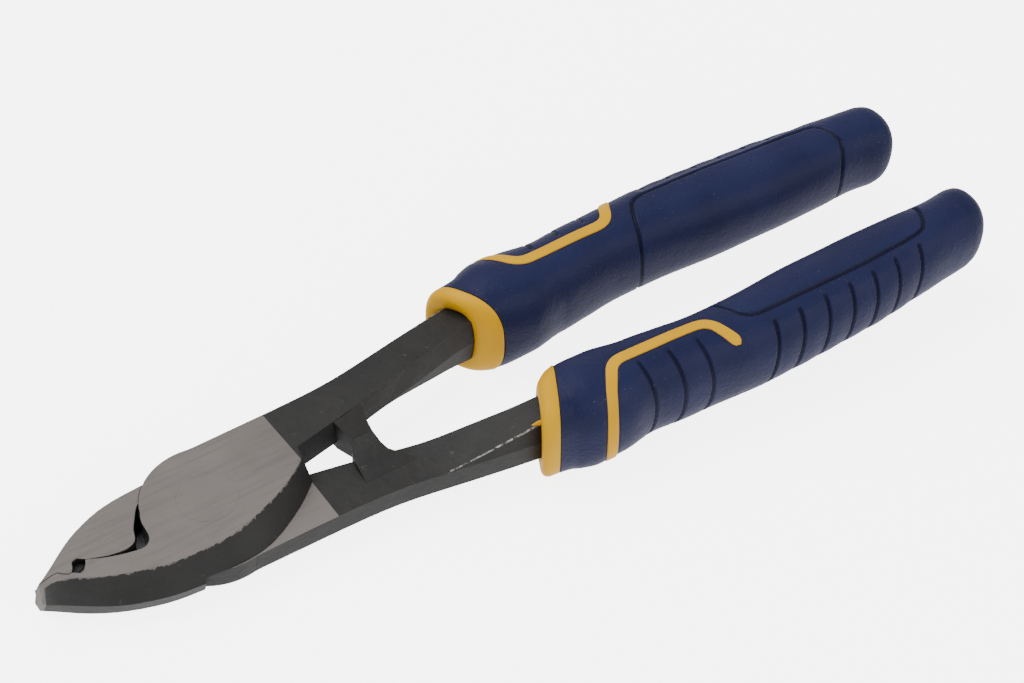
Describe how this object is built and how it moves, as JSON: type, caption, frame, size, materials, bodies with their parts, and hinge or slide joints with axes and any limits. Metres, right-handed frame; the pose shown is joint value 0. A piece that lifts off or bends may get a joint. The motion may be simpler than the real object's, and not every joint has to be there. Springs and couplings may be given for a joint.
{
  "type": "cable cutting pliers",
  "caption": "Slender two-lever cable cutting pliers with a lapped joint, curved jaws and padded grips; the levers open about one pivot.",
  "frame": {"origin": "on the pivot axis, at the flat underside of the head", "axes": "+Z along the pivot axis, up through the head; +X from the pivot towards the handle ends; +Y towards the handle of the upper lever"},
  "size_m": [0.1969, 0.0502, 0.021],
  "materials": {
    "lever_steel": "black oxide on the forged flanks and shanks, joint and jaw faces ground to warm grey steel",
    "ground_steel": "ground flush with the joint faces",
    "grip_yellow": "smooth moulded, satin",
    "grip_navy": "fine-grained soft moulding"
  },
  "bodies": {
    "lower": {"lower_lever": "lever_steel", "pivot_rivet": "ground_steel", "lower_grip_core": "grip_yellow", "lower_grip_cover": "grip_navy"},
    "upper": {"upper_lever": "lever_steel", "upper_grip_core": "grip_yellow", "upper_grip_cover": "grip_navy"}
  },
  "joints": [
    {"name": "pivot", "type": "hinge", "parent": "lower", "child": "upper", "pos_m": [0, 0, 0], "axis": [0, 0, 1], "range_deg": [0, 40]}
  ]
}
